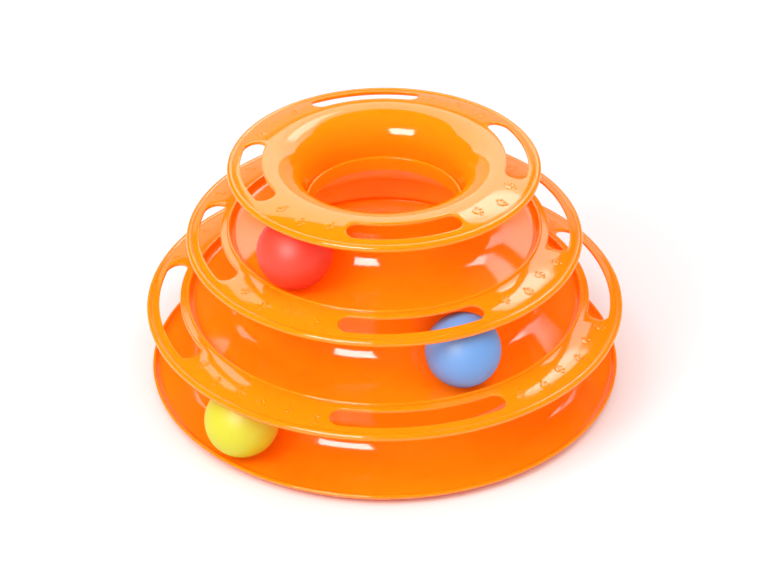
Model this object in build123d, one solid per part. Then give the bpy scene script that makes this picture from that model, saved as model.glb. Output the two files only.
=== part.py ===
from build123d import *
import math
import os

# A tower of three round tracks for a cat to bat balls along. Each track is a ring-shaped trough with a
# slotted flange for a roof, and every tier lifts off the collar of the one below.
# Sizes are in millimetres. The origin is on the ground under the tower's centre, with +Z up.

# Tower
upper_tier_names = ["second_tier", "third_tier"]    # from the ground up, between base tray and top ring
bottom_rim_radius = 125.0    # outer edge of the largest roof flange
tier_step = 22.5             # each roof is this much smaller in radius than the one below
wall = 1.8                   # every moulded wall

# Balls, one to a track from the ground up
ball_diameter = 38.0
ball_wall = 1.2
ball_headroom = 0.2          # play between a ball and the floor above it
ball_gap = 0.3               # a ball stands this far off its floor
ball_places = {              # azimuth in degrees, share of the way from the track's lip to its cove
    "yellow_ball": (-131.3, 0.574),
    "blue_ball": (-63.7, 0.444),
    "red_ball": (-131.8, 0.107),
}

# Track section
track_depth = 37.5           # from a roof's rim in to the waist of its track
lip_room = 1.0               # from the waist out to an upper track's lip, over the ball's diameter
base_edge_inset = 2.7        # the base tray's edge is this much nearer the waist than an upper lip
cove_room = 1.0              # radius of the turn from a floor up to its waist, over the ball's radius
edge_radius = 5.6            # base tray's rounded edge, middle of the wall
edge_turn = 60.0             # how far that edge turns up, in degrees
lip_height = 4.8             # upper tracks' lips, above their floors
lip_turn_radius = 4.0        # turn from an upper track's floor to its lip, middle of the wall

# Roof flange
flange_rise = 3.5            # roof's top above the next track's floor, at the lip
dome_radius = 54.1           # crown of the roof, middle of the wall
rim_roll_radius = 1.9        # round roll along the rim, proud of both faces of the roof
slot_count = 4
slot_azimuth = -81.2         # middle of the front slot, in degrees
slot_half_arc = 19.9         # from a slot's middle to the centre of its round end, in degrees
slot_to_rim = 6.6            # solid flange outside a slot
slot_to_lip = 3.3            # solid flange inside a slot
slot_edge = 0.45             # rounded edge of a slot

# Slip joint between tiers
seat_height = 15.0           # above a track's floor, where the next tier's skirt stands
spigot_height = 6.0          # collar's spigot above that seat
spigot_root = 2.5            # collar's thick top below that seat
fit_clearance = 0.2          # around the spigot
skirt_fillet = 3.0           # skirt to the underside of its floor

# Pads
pad_count = 4
pad_diameter = 10.0
pad_thickness = 1.5
pad_first_azimuth = 45.0

# Worked out from the sizes above
track_count = len(upper_tier_names) + 1
top_track = track_count - 1
tier_pitch = ball_diameter + ball_headroom + wall
rim_radii = [bottom_rim_radius - tier_step * track for track in range(track_count)]
floor_tops = [pad_thickness + wall + tier_pitch * level for level in range(track_count + 1)]
ball_radius = ball_diameter / 2
cove_radius = ball_radius + cove_room
track_width = ball_diameter + lip_room                        # from a waist out to an upper track's lip
flange_width = tier_step + track_depth - track_width          # from a roof's rim in to the next lip
slot_width = flange_width - slot_to_rim - slot_to_lip
slot_inset = slot_to_rim + slot_width / 2                     # from a rim in to the middle of its slots


def wall_along(*edges):
    """Section of one wall, with round ends, whose middle follows the edges."""
    outline = Wire(edges).offset_2d(wall / 2, kind=Kind.ARC, side=Side.BOTH)
    return make_face(outline.edges())


def ring_section(inner_radius, outer_radius, low, high):
    """Rectangle in the section plane, from one radius to another and one height to another."""
    corner = (inner_radius, low)
    return Pos(*corner) * Rectangle(outer_radius - inner_radius, high - low, align=(Align.MIN, Align.MIN))


def spun(section):
    """Solid of revolution of a section drawn as radius and height."""
    return revolve(Plane.XZ * section, Axis.Z)


def waist_radius(tier):
    return rim_radii[tier] - track_depth


def cove_start(tier):
    """Radius at which a track's flat floor turns up into its cove."""
    cove_middle = cove_radius + wall / 2
    return waist_radius(tier) - wall / 2 + math.sqrt(cove_middle**2 - (cove_radius - seat_height)**2)


def lip_radius(tier):
    """Outer face of a track's lip: the base tray's edge, or the inside of the roof below."""
    if tier == 0:
        return waist_radius(tier) + track_width - base_edge_inset
    return waist_radius(tier) + track_width


def lip_centre(tier):
    """Radius of the lip's round top and its height above the track's floor, at the middle of the wall."""
    if tier == 0:
        rise = edge_radius * (1 - math.cos(math.radians(edge_turn)))
        return lip_radius(tier) - wall / 2, rise - wall / 2
    return lip_radius(tier) - wall / 2, lip_height - wall / 2


def track_section(tier):
    """Trough of one track: cove, flat floor, turned-up lip, and the collar with its spigot."""
    middle = floor_tops[tier] - wall / 2
    seat = floor_tops[tier] + seat_height
    waist = waist_radius(tier)

    # The cove leaves the floor level and meets the collar at the seat.
    cove_middle = cove_radius + wall / 2
    cove_turn = math.degrees(math.acos((cove_radius - seat_height) / cove_middle))
    cove = JernArc((cove_start(tier), middle), (-1, 0), cove_middle, -cove_turn)

    if tier == 0:
        turn_start = lip_radius(tier) - wall / 2 - edge_radius * math.sin(math.radians(edge_turn))
        lip = [JernArc((turn_start, middle), (1, 0), edge_radius, edge_turn)]
    else:
        turn_start = lip_radius(tier) - wall / 2 - lip_turn_radius
        turn = JernArc((turn_start, middle), (1, 0), lip_turn_radius, 90)
        top = (lip_radius(tier) - wall / 2, floor_tops[tier] + lip_height - wall / 2)
        lip = [turn, Line(turn @ 1, top)]
    floor = Line((cove_start(tier), middle), (turn_start, middle))
    trough = wall_along(cove, floor, *lip)

    # The collar is cut level at the seat, and a round-topped spigot stands on its inside.
    spigot_middle = waist - wall - fit_clearance - wall / 2
    above_seat = ring_section(0, waist + cove_radius, seat, seat + wall)
    root = ring_section(spigot_middle, waist - wall / 2, seat - spigot_root, seat)
    spigot_foot = (spigot_middle, seat - spigot_root + wall / 2)
    spigot = wall_along(Line(spigot_foot, (spigot_middle, seat + spigot_height - wall / 2)))
    return trough - above_seat + root + spigot


def roof_start(tier):
    """Middle of a roof's wall at the lip or crest that it springs from."""
    return rim_radii[tier] - flange_width - wall / 2, floor_tops[tier + 1] + flange_rise - wall / 2


def roof_line(tier, outward):
    """Line along a roof's crown, so far outward of its wall's middle, from the crest into the rim's roll."""
    start_radius, start_height = roof_start(tier)
    turn = math.asin((flange_width + wall / 2 - rim_roll_radius) / dome_radius)
    reach = dome_radius + outward
    crest = (start_radius, start_height + outward)
    corner = (start_radius + reach * math.tan(turn / 2), start_height + outward)
    rim = (start_radius + reach * math.sin(turn), start_height - dome_radius + reach * math.cos(turn))
    return [Bezier(crest, corner, rim)]


def funnel_line(outward):
    """Line along the top ring's funnel in the same way: up its tube from the seat and over to the crest."""
    crest_radius, crest_height = roof_start(top_track)
    funnel_radius = track_depth - flange_width
    tube_radius = crest_radius - funnel_radius - outward
    tube_top = (tube_radius, crest_height - funnel_radius)
    tube = Line((tube_radius, floor_tops[top_track] + seat_height), tube_top)
    return [tube, JernArc(tube_top, (0, 1), funnel_radius + outward, -90)]


def wall_between(top, underside):
    """Section of one wall between the lines along its two faces."""
    ends = [Line(top[0] @ 0, underside[0] @ 0), Line(top[-1] @ 1, underside[-1] @ 1)]
    return make_face(top + underside + ends)


def roll_section(tier):
    """Round roll along the rim of a roof."""
    return Pos(roof_line(tier, 0)[-1] @ 1) * Circle(rim_roll_radius)


def skirt_section(tier):
    """Tube under a floor, which stands on the seat of the tier below."""
    seat = floor_tops[tier - 1] + seat_height
    underside = floor_tops[tier] - wall
    outer = waist_radius(tier - 1)
    tube = ring_section(outer - wall, outer, seat, underside + wall / 2)
    corner = ring_section(outer, outer + skirt_fillet, underside - skirt_fillet, underside)
    hollow = Pos(outer + skirt_fillet, underside - skirt_fillet) * Circle(skirt_fillet)
    return tube + (corner - hollow)


def slotted(piece, tier):
    """Piece with the roof's round-ended slots cut through it and their edges rounded."""
    middle_radius = rim_radii[tier] - slot_inset
    roof_top = floor_tops[tier + 1] + flange_rise
    slot_arc = CenterArc((0, 0), middle_radius, -slot_half_arc, 2 * slot_half_arc)
    cutter = extrude(SlotArc(slot_arc, slot_width), tier_pitch / 2, both=True)
    for number in range(slot_count):
        turn = slot_azimuth + number * 360 / slot_count
        piece -= Pos(0, 0, roof_top) * Rot(0, 0, turn) * cutter

    def in_slot(face):
        centre = face.center()
        return abs(math.hypot(centre.X, centre.Y) - middle_radius) < slot_width

    slot_walls = piece.faces().filter_by(GeomType.CYLINDER).filter_by(in_slot)
    edges = [edge for face in slot_walls for edge in face.edges() if edge.geom_type != GeomType.LINE]
    return fillet(edges, min(slot_edge, wall / 3))


def base_tray():
    return spun(track_section(0))


def upper_tier(tier):
    """Roof of the track below and trough of the next, in one moulding."""
    track_below = tier - 1
    roof = wall_between(roof_line(track_below, wall / 2), roof_line(track_below, -wall / 2))
    section = track_section(tier) + roof + roll_section(track_below) + skirt_section(tier)
    return slotted(spun(section), track_below)


def top_ring():
    """Roof of the top track, which turns over its crest into a funnel and stands on the last seat."""
    top = funnel_line(wall / 2) + roof_line(top_track, wall / 2)
    underside = funnel_line(-wall / 2) + roof_line(top_track, -wall / 2)
    section = wall_between(top, underside) + roll_section(top_track)
    return slotted(spun(section), top_track)


def ball(tier, azimuth, share):
    """Hollow ball on the floor of its track, between touching the lip and running up the cove."""
    lip_at, lip_above_floor = lip_centre(tier)
    reach = ball_radius + wall / 2 + ball_gap
    drop = ball_radius + ball_gap - lip_above_floor
    at_lip = lip_at - math.sqrt(reach**2 - drop**2)
    orbit = at_lip + share * (cove_start(tier) - at_lip)
    centre = Rot(0, 0, azimuth) * Pos(orbit, 0, floor_tops[tier] + ball_gap + ball_radius)
    return centre * (Sphere(ball_radius) - Sphere(ball_radius - ball_wall))


def anti_slip_pad(number):
    """Soft round pad under the flat of the base tray."""
    flat_inner = waist_radius(0) + cove_radius
    flat_outer = lip_radius(0) - wall / 2 - edge_radius * math.sin(math.radians(edge_turn))
    azimuth = pad_first_azimuth + number * 360 / pad_count
    place = Rot(0, 0, azimuth) * Pos((flat_inner + flat_outer) / 2, 0, 0)
    return place * Cylinder(pad_diameter / 2, pad_thickness, align=(Align.CENTER, Align.CENTER, Align.MIN))


pieces = {"base_tray": base_tray()}
for tier, name in enumerate(upper_tier_names, start=1):
    pieces[name] = upper_tier(tier)
pieces["top_ring"] = top_ring()
for tier, (name, (azimuth, share)) in enumerate(ball_places.items()):
    pieces[name] = ball(tier, azimuth, share)
for number in range(pad_count):
    pieces[f"anti_slip_pad_{number + 1}"] = anti_slip_pad(number)

os.makedirs("parts", exist_ok=True)
for name, piece in pieces.items():
    export_step(piece, f"parts/{name}.step")
    print(name, round(piece.volume), "mm3")
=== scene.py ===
import math

import bmesh
import bpy
from mathutils import Matrix, Vector


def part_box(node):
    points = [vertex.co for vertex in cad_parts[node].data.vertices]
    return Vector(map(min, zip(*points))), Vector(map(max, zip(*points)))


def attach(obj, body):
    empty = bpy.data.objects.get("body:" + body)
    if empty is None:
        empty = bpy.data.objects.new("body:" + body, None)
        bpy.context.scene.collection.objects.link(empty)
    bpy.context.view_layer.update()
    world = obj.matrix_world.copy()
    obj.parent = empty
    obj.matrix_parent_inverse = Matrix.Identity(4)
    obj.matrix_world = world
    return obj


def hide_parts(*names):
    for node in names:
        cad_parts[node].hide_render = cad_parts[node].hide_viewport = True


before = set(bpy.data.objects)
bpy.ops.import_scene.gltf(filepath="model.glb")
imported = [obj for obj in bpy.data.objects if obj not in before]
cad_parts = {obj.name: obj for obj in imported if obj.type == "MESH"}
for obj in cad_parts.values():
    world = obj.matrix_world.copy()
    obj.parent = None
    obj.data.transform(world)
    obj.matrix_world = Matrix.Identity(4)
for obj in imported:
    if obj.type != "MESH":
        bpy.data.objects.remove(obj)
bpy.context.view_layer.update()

# Anti-slip pads
# Four round pads of dark foam rubber, punched out of sheet and glued under the flat of the base tray.
# The punch leaves their lower edge slightly soft.
pad_edge = 0.0004
pad_black = (0.035, 0.034, 0.033, 1)
pad_worn = (0.075, 0.073, 0.07, 1)
sharp_turn = math.radians(38)


class Shade:
    """A shader socket. Sums and products of sockets and numbers become Math nodes."""

    def __init__(self, tree, socket=None):
        self.tree = tree
        self.socket = socket

    def node(self, kind, settings=None, sockets=None, output=0):
        """A new node of this kind: its settings are set first, then the values or links of its sockets."""
        made = self.tree.nodes.new(kind)
        for name, value in (settings or {}).items():
            setattr(made, name, value)
        for name, value in (sockets or {}).items():
            if isinstance(value, Shade):
                self.tree.links.new(value.socket, made.inputs[name])
            else:
                made.inputs[name].default_value = value
        return Shade(self.tree, made.outputs[output] if made.outputs else None)

    def maths(self, operation, first, second):
        return self.node("ShaderNodeMath", {"operation": operation}, {0: first, 1: second})

    def __add__(self, other):
        return self.maths("ADD", self, other)

    def __radd__(self, other):
        return self.maths("ADD", other, self)

    def __mul__(self, other):
        return self.maths("MULTIPLY", self, other)

    def __rmul__(self, other):
        return self.maths("MULTIPLY", other, self)

    def mixed(self, first, second):
        """Colour between two others, by this socket's share of the second."""
        return self.node("ShaderNodeMix", {"data_type": "RGBA"}, {0: self, 6: first, 7: second}, output=2)


def start_material(name):
    """An empty node material, and the start of its node maths."""
    made = bpy.data.materials.new(name)
    made.use_nodes = True
    made.node_tree.nodes.clear()
    return made, Shade(made.node_tree)


def finish_material(shader):
    shader.node("ShaderNodeOutputMaterial", sockets={"Surface": shader})


def foam_rubber():
    """Matt black foam with small open pores and a greyer, rubbed skin."""
    made, start = start_material("foam_rubber")
    place = start.node("ShaderNodeTexCoord", output="Object")
    pores = start.node("ShaderNodeTexVoronoi", sockets={"Vector": place, "Scale": 2600.0})
    rubbing = start.node("ShaderNodeTexNoise", sockets={"Vector": place, "Scale": 420.0, "Detail": 4.0})
    dents = start.node("ShaderNodeBump", sockets={"Strength": 0.6, "Distance": 0.0002, "Height": pores})
    finish_material(start.node("ShaderNodeBsdfPrincipled", sockets={
        "Base Color": rubbing.mixed(pad_black, pad_worn),
        "Roughness": 0.8 + 0.15 * rubbing,
        "Normal": dents,
    }))
    return made


def finish_piece(name, shape, material, slot, body, *nodes):
    """Makes a bmesh one smooth-shaded piece of the object, with its sharp edges kept, on its body."""
    bmesh.ops.recalc_face_normals(shape, faces=shape.faces)
    for face in shape.faces:
        face.smooth = True
    for edge in shape.edges:
        edge.smooth = edge.calc_face_angle(0) < sharp_turn
    mesh = bpy.data.meshes.new(name)
    shape.to_mesh(mesh)
    shape.free()
    mesh.materials.append(material)
    piece = bpy.data.objects.new(name, mesh)
    bpy.context.scene.collection.objects.link(piece)
    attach(piece, body)
    if nodes:
        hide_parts(*nodes)
    return piece


pad_finish = foam_rubber()
for number in range(1, 5):
    node = f"anti_slip_pad_{number}"
    low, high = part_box(node)
    pad = bmesh.new()
    bmesh.ops.create_cone(
        pad, cap_ends=True, segments=64, radius1=(high.x - low.x) / 2, radius2=(high.x - low.x) / 2,
        depth=high.z - low.z, matrix=Matrix.Translation((low + high) / 2))
    rim = [edge for edge in pad.edges if all(vert.co.z < low.z + pad_edge for vert in edge.verts)]
    bmesh.ops.bevel(pad, geom=rim, offset=pad_edge, segments=3, profile=0.5, affect="EDGES", material=-1)
    finish_piece(f"{node}_foam", pad, pad_finish, "pad_rubber", "base", node)

# Base tray
# The lowest moulding: a ring-shaped trough of glossy orange plastic, open in the middle, with a rounded
# edge outside and a collar inside. The collar ends in a level seat and a spigot for the tier above.
wall = 0.0018
skin = wall / 2
cove_radius = 0.020
track_depth = 0.0375
seat_height = 0.015
spigot_height = 0.006
spigot_root = 0.0025
fit_clearance = 0.0002
edge_radius = 0.0056
edge_turn = 60
quarter_steps = 90
cove_steps, underside_steps, turn_steps, round_steps, corner_steps = 28, 24, 8, 10, 4
slot_azimuth = math.radians(-81.2)
plastic_orange = (0.97, 0.24, 0.0025, 1)
plastic_amber = (0.97, 0.265, 0.004, 1)
# Colour of the painted glow: an emission that lifts the plastic's shaded sides, which no lamp lights.
painted_glow_colour = (1.0, 0.07, 0.0, 1)


def moulded_plastic():
    """Glossy orange plastic, with the faint clouding, waviness and handling of a new moulding.

    The thin walls let some light through, and a painted glow, an even emission on every face, lifts the
    shaded sides to a deeper orange-red."""
    made, start = start_material("moulded_orange_plastic")
    place = start.node("ShaderNodeTexCoord", output="Object")
    clouding = start.node("ShaderNodeTexNoise", sockets={"Vector": place, "Scale": 16.0, "Detail": 2.0})
    handling = start.node("ShaderNodeTexNoise", sockets={"Vector": place, "Scale": 240.0, "Detail": 5.0})
    waviness = start.node("ShaderNodeTexNoise", sockets={"Vector": place, "Scale": 130.0, "Detail": 1.0})
    ripple = start.node("ShaderNodeBump", sockets={"Strength": 0.25, "Distance": 0.00003, "Height": waviness})
    finish_material(start.node("ShaderNodeBsdfPrincipled", sockets={
        "Base Color": clouding.mixed(plastic_orange, plastic_amber),
        "Roughness": 0.06 + 0.05 * handling,
        "IOR": 1.5,
        "Subsurface Weight": 0.5,
        "Subsurface Radius": (1.0, 0.3, 0.05),
        "Subsurface Scale": 0.004,
        "Emission Color": painted_glow_colour,
        "Emission Strength": 0.2,
        "Normal": ripple,
    }))
    return made


class Section:
    """Half section of a moulding in the plane of radius and height, drawn as one closed line of edges."""

    def __init__(self):
        self.shape = bmesh.new()
        self.first = None
        self.tip = None

    def line(self, radius, height):
        """Straight on to a point, unless the line is there already."""
        point = Vector((radius, 0, height))
        if self.tip is None:
            self.first = self.tip = self.shape.verts.new(point)
        elif (self.tip.co - point).length > wall / 1000:
            self.tip = bmesh.ops.extrude_vert_indiv(self.shape, verts=[self.tip])["verts"][0]
            self.tip.co = point

    def arc(self, centre, radius, start, end, steps):
        """Along an arc between two angles, in degrees anticlockwise from straight outwards."""
        self.line(centre[0] + radius * math.cos(math.radians(start)),
                  centre[1] + radius * math.sin(math.radians(start)))
        turned = bmesh.ops.spin(
            self.shape, geom=[self.tip], cent=(centre[0], 0, centre[1]), axis=(0, -1, 0),
            angle=math.radians(end - start), steps=steps)
        self.tip = [part for part in turned["geom_last"] if isinstance(part, bmesh.types.BMVert)][0]

    def quarter(self):
        """The closed section turned a quarter of the way round the tower, a slot's place in its middle."""
        bmesh.ops.contextual_create(self.shape, geom=[self.tip, self.first])
        start = Matrix.Rotation(slot_azimuth - math.pi / 4, 3, "Z")
        bmesh.ops.rotate(self.shape, verts=self.shape.verts, matrix=start)
        bmesh.ops.spin(
            self.shape, geom=self.shape.verts[:] + self.shape.edges[:], cent=(0, 0, 0), axis=(0, 0, 1),
            angle=math.pi / 2, steps=quarter_steps)
        return self.shape


def all_round(shape):
    """A quarter repeated round the tower's axis and sewn together."""
    bmesh.ops.spin(
        shape, geom=shape.verts[:] + shape.edges[:] + shape.faces[:], cent=(0, 0, 0), axis=(0, 0, 1),
        angle=1.5 * math.pi, steps=3, use_duplicate=True)
    bmesh.ops.remove_doubles(shape, verts=shape.verts, dist=wall / 1000)
    return shape


def cove_centre(waist, floor):
    """Centre of the turn from a track's floor up to its waist."""
    cove_middle = cove_radius + skin
    rise = cove_radius - seat_height
    return waist - skin + math.sqrt(cove_middle**2 - rise**2), floor + cove_radius


def draw_cove(section, waist, floor):
    """Visible side of the cove, from the seat down to the floor."""
    seat_angle = 180 + math.degrees(math.asin((cove_radius - seat_height) / cove_radius))
    section.arc(cove_centre(waist, floor), cove_radius, seat_angle, 270, cove_steps)


def draw_collar(section, waist, floor):
    """Underside of the cove, then the collar's root and the spigot, round to the seat."""
    seat = floor + seat_height
    middle = waist - wall - fit_clearance - skin
    root_angle = math.degrees(math.asin((cove_radius - seat_height + spigot_root) / (cove_radius + wall)))
    section.arc(cove_centre(waist, floor), cove_radius + wall, 270, 180 + root_angle, underside_steps)
    section.arc((middle, seat - spigot_root + skin), skin, 270, 180, corner_steps)
    section.arc((middle, seat + spigot_height - skin), skin, 180, 0, round_steps)
    section.line(middle + skin, seat)


orange_plastic = moulded_plastic()
low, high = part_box("base_tray")
base_floor = low.z + wall
base_lip = high.x
lower_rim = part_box("second_tier")[1].x
edge_start = base_lip - skin - edge_radius * math.sin(math.radians(edge_turn))
edge_centre = (edge_start, base_floor - skin + edge_radius)
edge_tip = (base_lip - skin, edge_centre[1] - edge_radius * math.cos(math.radians(edge_turn)))

tray = Section()
draw_cove(tray, lower_rim - track_depth, base_floor)
tray.arc(edge_centre, edge_radius - skin, 270, 270 + edge_turn, turn_steps)
tray.arc(edge_tip, skin, 90 + edge_turn, edge_turn - 90, round_steps)
tray.arc(edge_centre, edge_radius + skin, edge_turn - 90, -90, turn_steps)
draw_collar(tray, lower_rim - track_depth, base_floor)
base_shape = all_round(tray.quarter())
finish_piece("base_tray_moulding", base_shape, orange_plastic, "orange_plastic", "base", "base_tray")

# Second and third tiers
# Each is one orange moulding: the slotted domed roof of the track below, with a roll along its rim, and the
# trough of the next track inside it. A skirt under the trough's floor stands on the seat of the tier below.
flange_width = 0.021
flange_rise = 0.0035
dome_radius = 0.0541
roll_radius = 0.0019
lip_height = 0.0048
lip_turn_radius = 0.004
skirt_fillet = 0.003
skirt_edge = 0.0003
slot_half_arc = math.radians(19.9)
slot_width = 0.0111
slot_inset = 0.01215
slot_edge = 0.00045
slot_margin = 0.0014
side_steps, end_steps, margin_steps = 40, 20, 6
dome_ends, roll_steps, hem_steps = 3, 24, 3
dome_over, dome_under = dome_radius + skin, dome_radius - skin


class Roof:
    """Section of one domed roof above a track, with the roll along its rim."""

    def __init__(self, rim, floor_above):
        self.centre = Vector((rim - flange_width - skin, floor_above + flange_rise - skin - dome_radius))
        run = flange_width + skin - roll_radius
        self.roll = self.centre + Vector((run, math.sqrt(dome_radius**2 - run**2)))
        self.slot_middle = rim - slot_inset

    def angle_at(self, radius, dome):
        """Angle on a dome face, in degrees, at a radius from the tower's axis."""
        return math.degrees(math.acos((radius - self.centre[0]) / dome))

    def height_at(self, radius, dome):
        return self.centre[1] + math.sqrt(dome**2 - (radius - self.centre[0])**2)

    def rim_angles(self, dome):
        """Where a dome face meets the roll: the angles about the dome's centre and about the roll's."""
        apart = math.acos((dome_radius**2 + dome**2 - roll_radius**2) / (2 * dome_radius * dome))
        along = self.roll - self.centre
        on_dome = math.atan2(along.y, along.x) + apart
        meeting = self.centre + dome * Vector((math.cos(on_dome), math.sin(on_dome))) - self.roll
        return math.degrees(on_dome), math.degrees(math.atan2(meeting.y, meeting.x))

    def draw_dome(self, section, dome, start, end):
        """A dome face between two angles, with steps that meet the patch in which the slots lie."""
        reach = slot_width / 2 + slot_margin
        patch = [self.angle_at(self.slot_middle - reach, dome), self.angle_at(self.slot_middle + reach, dome)]
        inner, outer = patch if start > end else patch[::-1]
        section.arc(self.centre, dome, start, inner, dome_ends)
        section.arc(self.centre, dome, inner, outer, end_steps - 2 * margin_steps)
        section.arc(self.centre, dome, outer, end, dome_ends)

    def cut_slot(self, quarter):
        """Opens a round-ended slot in a quarter: clears the patch about it and sews in the slot's outline."""
        outlines = []
        for dome in (dome_over, dome_under):
            patch = [face for face in quarter.faces if self.in_patch(face.calc_center_median(), dome)]
            inside = set(patch)
            border = [edge for face in patch for edge in face.edges if not inside.issuperset(edge.link_faces)]
            bmesh.ops.delete(quarter, geom=patch, context="FACES")
            outline = self.slot_outline(dome)
            quarter.from_mesh(outline)
            bpy.data.meshes.remove(outline)
            loop = [edge for edge in quarter.edges if not edge.link_faces]
            bmesh.ops.bridge_loops(quarter, edges=border + loop)
            outlines += loop
        bmesh.ops.bridge_loops(quarter, edges=outlines)
        bmesh.ops.bevel(quarter, geom=outlines, offset=slot_edge, segments=3, profile=0.5,
                        affect="EDGES", material=-1)

    def in_patch(self, point, dome):
        """Whether a point is on this face of the roof, within the patch about the slot."""
        radius = point.xy.length
        turn = math.atan2(point.y, point.x) - slot_azimuth
        return (abs(radius - self.slot_middle) < slot_width / 2 + slot_margin
                and abs(turn) < math.radians(side_steps / 2 + margin_steps)
                and abs(point.z - self.height_at(radius, dome)) < skin / 2)

    def slot_outline(self, dome):
        """Mesh of the slot's outline: out along one side, round an end, back, and round the other end."""
        def at(radius, turn):
            return Vector((radius * math.cos(slot_azimuth + turn), radius * math.sin(slot_azimuth + turn), 0))

        outline = bmesh.new()
        tip = outline.verts.new(at(self.slot_middle + slot_width / 2, -slot_half_arc))
        strokes = [
            (Vector(), 2 * slot_half_arc, side_steps),
            (at(self.slot_middle, slot_half_arc), math.pi, end_steps),
            (Vector(), -2 * slot_half_arc, side_steps),
            (at(self.slot_middle, -slot_half_arc), math.pi, end_steps),
        ]
        for centre, turn, steps in strokes:
            turned = bmesh.ops.spin(outline, geom=[tip], cent=centre, axis=(0, 0, 1), angle=turn, steps=steps)
            tip = [part for part in turned["geom_last"] if isinstance(part, bmesh.types.BMVert)][0]
        bmesh.ops.remove_doubles(outline, verts=outline.verts, dist=wall / 1000)
        for vert in outline.verts:
            vert.co.z = self.height_at(vert.co.xy.length, dome)
        mesh = bpy.data.meshes.new("slot_outline")
        outline.to_mesh(mesh)
        outline.free()
        return mesh


roofs = {}
for node, rim_above in (("second_tier", "third_tier"), ("third_tier", "top_ring")):
    low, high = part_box(node)
    floor = high.z - spigot_height - seat_height
    roof = Roof(high.x, floor)
    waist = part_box(rim_above)[1].x - track_depth
    skirt = high.x - track_depth
    lip = high.x - flange_width
    lip_turn = (lip - skin - lip_turn_radius, floor - skin + lip_turn_radius)

    # The underside of the roof runs into the lip's turn, where the two arcs cross.
    lip_reach = lip_turn_radius + skin
    apart = Vector(lip_turn) - roof.centre
    reach = apart.length
    lip_meet = math.acos((reach**2 + lip_reach**2 - dome_under**2) / (2 * reach * lip_reach))
    dome_meet = math.acos((reach**2 + dome_under**2 - lip_reach**2) / (2 * reach * dome_under))
    bearing = math.atan2(apart.y, apart.x)
    over_end, roll_start = roof.rim_angles(dome_over)
    under_end, roll_end = roof.rim_angles(dome_under)

    tier = Section()
    draw_cove(tier, waist, floor)
    tier.arc(lip_turn, lip_turn_radius - skin, 270, 360, turn_steps)
    tier.arc((lip - skin, floor + lip_height - skin), skin, 180, 0, round_steps)
    roof.draw_dome(tier, dome_over, roof.angle_at(lip, dome_over), over_end)
    tier.arc(roof.roll, roll_radius, roll_start, roll_end, roll_steps)
    roof.draw_dome(tier, dome_under, under_end, math.degrees(bearing - dome_meet))
    tier.arc(lip_turn, lip_reach, math.degrees(bearing + math.pi + lip_meet) - 360, -90, turn_steps)
    tier.arc((skirt + skirt_fillet, floor - wall - skirt_fillet), skirt_fillet, 90, 180, turn_steps)
    tier.arc((skirt - skirt_edge, low.z + skirt_edge), skirt_edge, 0, -90, hem_steps)
    tier.line(skirt - wall, low.z)
    tier.line(skirt - wall, floor - wall)
    draw_collar(tier, waist, floor)
    quarter = tier.quarter()
    roof.cut_slot(quarter)
    finish_piece(f"{node}_moulding", all_round(quarter), orange_plastic, "orange_plastic", node, node)
    roofs[node] = roof

# Top ring
# The last orange moulding: the slotted roof of the top track, which turns over its crest into a funnel.
# The funnel's tube slips over the third tier's spigot and stands on its seat.
low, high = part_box("top_ring")
roof = Roof(high.x, high.z - flange_rise)
funnel_radius = track_depth - flange_width
tube = high.x - track_depth
funnel_centre = (roof.centre[0], high.z - skin - funnel_radius)
over_end, roll_end = roof.rim_angles(dome_over)
under_end, roll_start = roof.rim_angles(dome_under)

ring = Section()
ring.arc((tube - skirt_edge, low.z + skirt_edge), skirt_edge, -90, 0, hem_steps)
ring.arc(funnel_centre, funnel_radius - skin, 180, 90, underside_steps)
roof.draw_dome(ring, dome_under, 90, under_end)
ring.arc(roof.roll, roll_radius, roll_start, roll_end, roll_steps)
roof.draw_dome(ring, dome_over, over_end, 90)
ring.arc(funnel_centre, funnel_radius + skin, 90, 180, cove_steps)
ring.line(tube - wall, low.z)
quarter = ring.quarter()
roof.cut_slot(quarter)
ring_shape = all_round(quarter)
finish_piece("top_ring_moulding", ring_shape, orange_plastic, "orange_plastic", "top_ring", "top_ring")
roofs["top_ring"] = roof

# Paw prints
# Low relief in the roofs, moulded with them: a trail of plain paw prints round each roof between the slots,
# with a heel pad and four toes each, the prints left and right of the trail in turn.
print_pitch = 0.0145
print_sway = 0.0018
print_shift = 0.0018
print_turn = math.radians(14)
relief = 0.00025
heel = Vector((0.0021, 0.0017, relief))
toe = Vector((0.0008, 0.0011, relief * 0.9))
toe_reach = 0.0031
toe_fan = [math.radians(turn) for turn in (-57, -19, 19, 57)]

for node, roof in roofs.items():
    gap = math.pi / 2 - 2 * (slot_half_arc + slot_width / 2 / roof.slot_middle)
    count = int(gap * roof.slot_middle / print_pitch)
    prints = bmesh.new()
    for step in range(count):
        side = 1 if step % 2 else -1
        azimuth = slot_azimuth + math.pi / 4 + (step - (count - 1) / 2) * print_pitch / roof.slot_middle
        radius = roof.slot_middle + print_shift + side * print_sway
        tilt = math.asin((radius - roof.centre[0]) / dome_over)
        paw = (Matrix.Rotation(azimuth, 4, "Z")
               @ Matrix.Translation((radius, 0, roof.height_at(radius, dome_over)))
               @ Matrix.Rotation(tilt, 4, "Y")
               @ Matrix.Rotation(side * print_turn, 4, "Z"))
        pads = [(Vector((0, 0, 0)), heel)]
        pads += [(toe_reach * Vector((math.sin(turn), math.cos(turn), 0)), toe) for turn in toe_fan]
        for place, size in pads:
            bmesh.ops.create_uvsphere(
                prints, u_segments=20, v_segments=10, radius=1,
                matrix=paw @ Matrix.Translation(place) @ Matrix.Diagonal(size.to_4d()))
    finish_piece(f"{node}_paw_prints", all_round(prints), orange_plastic, "orange_plastic", node)

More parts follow.
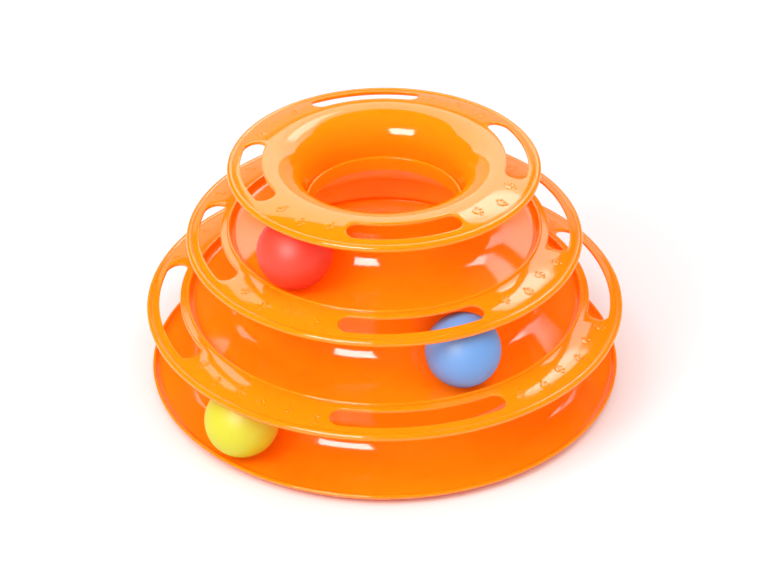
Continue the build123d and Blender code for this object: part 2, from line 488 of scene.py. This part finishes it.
# Balls
# One hollow ball to a track, of satin plastic, blown in one colour and welded from two halves. The weld is a
# hair-fine groove, which lies to the side on each ball as it came to rest.
weld_width = 0.00045
weld_depth = 0.00012
ball_colours = {
    "yellow_ball": ((0.63, 0.58, 0.014, 1), (0.67, 0.62, 0.022, 1)),
    "blue_ball": ((0.14, 0.31, 0.66, 1), (0.16, 0.34, 0.7, 1)),
    "red_ball": ((0.78, 0.04, 0.013, 1), (0.82, 0.055, 0.022, 1)),
}


def satin_plastic(name, colours):
    """Satin plastic with the fine spark-eroded grain of its mould and slight clouding."""
    made, start = start_material(f"{name}_satin_plastic")
    place = start.node("ShaderNodeTexCoord", output="Object")
    clouding = start.node("ShaderNodeTexNoise", sockets={"Vector": place, "Scale": 70.0, "Detail": 3.0})
    grain = start.node("ShaderNodeTexNoise", sockets={"Vector": place, "Scale": 2400.0, "Detail": 3.0})
    pits = start.node("ShaderNodeBump", sockets={"Strength": 0.3, "Distance": 0.00004, "Height": grain})
    finish_material(start.node("ShaderNodeBsdfPrincipled", sockets={
        "Base Color": clouding.mixed(*colours),
        "Roughness": 0.42 + 0.12 * grain,
        "IOR": 1.48,
        "Normal": pits,
    }))
    return made


weld_lean = Matrix.Rotation(math.radians(57), 4, "X")
for node, colours in ball_colours.items():
    low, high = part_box(node)
    ball_radius = (high.x - low.x) / 2
    ball = bmesh.new()
    bmesh.ops.create_uvsphere(ball, u_segments=128, v_segments=64, radius=ball_radius)
    weld = [edge for edge in ball.edges if all(abs(vert.co.z) < weld_width / 10 for vert in edge.verts)]
    bmesh.ops.bevel(ball, geom=weld, offset=weld_width / 2, segments=4, profile=0.5,
                    affect="EDGES", material=-1)
    for vert in ball.verts:
        depth = max(0, 1 - abs(vert.co.z) / (weld_width / 2))
        vert.co *= (ball_radius - weld_depth * depth) / vert.co.length
    bmesh.ops.transform(ball, verts=ball.verts, matrix=Matrix.Translation((low + high) / 2) @ weld_lean)
    finish_piece(f"{node}_shell", ball, satin_plastic(node, colours), node, node, node)

# Floor
# A wide sheet of white studio paper that the toy stands on.
floor_half = 40.0
paper_white = (0.82, 0.82, 0.82, 1)


def studio_paper():
    made, start = start_material("studio_paper")
    place = start.node("ShaderNodeTexCoord", output="Object")
    fibres = start.node("ShaderNodeTexNoise", sockets={"Vector": place, "Scale": 900.0, "Detail": 2.0})
    finish_material(start.node("ShaderNodeBsdfPrincipled", sockets={
        "Base Color": paper_white,
        "Roughness": 0.85 + 0.1 * fibres,
        "Specular IOR Level": 0.1,
    }))
    return made


paper = bmesh.new()
bmesh.ops.create_grid(paper, x_segments=1, y_segments=1, size=floor_half)
paper_mesh = bpy.data.meshes.new("studio_floor")
paper.to_mesh(paper_mesh)
paper.free()
paper_mesh.materials.append(studio_paper())
paper_sheet = bpy.data.objects.new("studio_floor", paper_mesh)
bpy.context.scene.collection.objects.link(paper_sheet)

# Light
# Soft lamps light the toy from above and from the left. The gloss shows a small soft box at the front left,
# a panel close behind, a brighter one at the back right and the wall. These are seen in reflections only.
room_light = 0.9
soft_lamps = {
    # name: azimuth and elevation in degrees, distance, width, height, brightness
    "overhead_lamp": (-90, 72, 1.8, 1.8, 1.8, 1.55),
    "left_lamp": (-140, 42, 1.3, 0.5, 0.5, 6.8),
}
gloss_panels = {
    "small_soft_box": (-115.5, 35.5, 0.91, 0.45, 0.31, 18.0),
    "near_panel": (90, 55, 0.4, 0.42, 0.19, 2.8),
    "back_wall": (90, 17, 1.3, 1.3, 0.55, 0.7),
    "back_right_panel": (66, 50, 1.3, 0.4, 0.35, 5.0),
}


def hang_light(name, azimuth, elevation, distance, width, height, brightness):
    """A rectangle of light that faces the toy. Its power follows from how bright its face is."""
    light = bpy.data.lights.new(name, "AREA")
    light.shape = "RECTANGLE"
    light.size = width
    light.size_y = height
    light.energy = brightness * math.pi * width * height
    holder = bpy.data.objects.new(name, light)
    turn, rise = math.radians(azimuth), math.radians(elevation)
    aim = Vector((math.cos(turn) * math.cos(rise), math.sin(turn) * math.cos(rise), math.sin(rise)))
    holder.location = distance * aim
    holder.rotation_euler = aim.to_track_quat("Z", "Y").to_euler()
    bpy.context.scene.collection.objects.link(holder)
    return holder


world = bpy.data.worlds.new("studio")
bpy.context.scene.world = world
world.use_nodes = True
world.node_tree.nodes["Background"].inputs["Color"].default_value = (1, 1, 1, 1)
world.node_tree.nodes["Background"].inputs["Strength"].default_value = room_light
world.cycles_visibility.glossy = False
for name, setting in soft_lamps.items():
    hang_light(name, *setting).visible_glossy = False
for name, setting in gloss_panels.items():
    hang_light(name, *setting).visible_diffuse = False

# The thin walls let some light into the hollow middle, which shows down the throat.
hollow_power = 0.045
hollow_size = 0.015
hollow_height = 0.035
hollow_light = bpy.data.lights.new("hollow_light", "POINT")
hollow_light.energy = hollow_power
hollow_light.shadow_soft_size = hollow_size
hollow_lamp = bpy.data.objects.new("hollow_light", hollow_light)
hollow_lamp.location = (0, 0, hollow_height)
hollow_lamp.visible_camera = False
hollow_lamp.visible_glossy = False
bpy.context.scene.collection.objects.link(hollow_lamp)

# Camera
# Where the photograph was taken from: in front, a little over a metre off, looking down on the toy.
camera_place = (0, -1.08027, 0.76667)
camera_lens = 115.65
camera_tilt = math.radians(33.657)
camera_pan = math.radians(0.017)
camera_roll = math.radians(-0.28)

lens = bpy.data.cameras.new("camera")
lens.sensor_width = 36
lens.lens = camera_lens
camera = bpy.data.objects.new("camera", lens)
camera.matrix_world = (
    Matrix.Translation(camera_place) @ Matrix.Rotation(camera_pan, 4, "Z")
    @ Matrix.Rotation(math.pi / 2 - camera_tilt, 4, "X") @ Matrix.Rotation(camera_roll, 4, "Z"))
bpy.context.scene.collection.objects.link(camera)
bpy.context.scene.camera = camera
bpy.context.scene.view_settings.view_transform = "Standard"
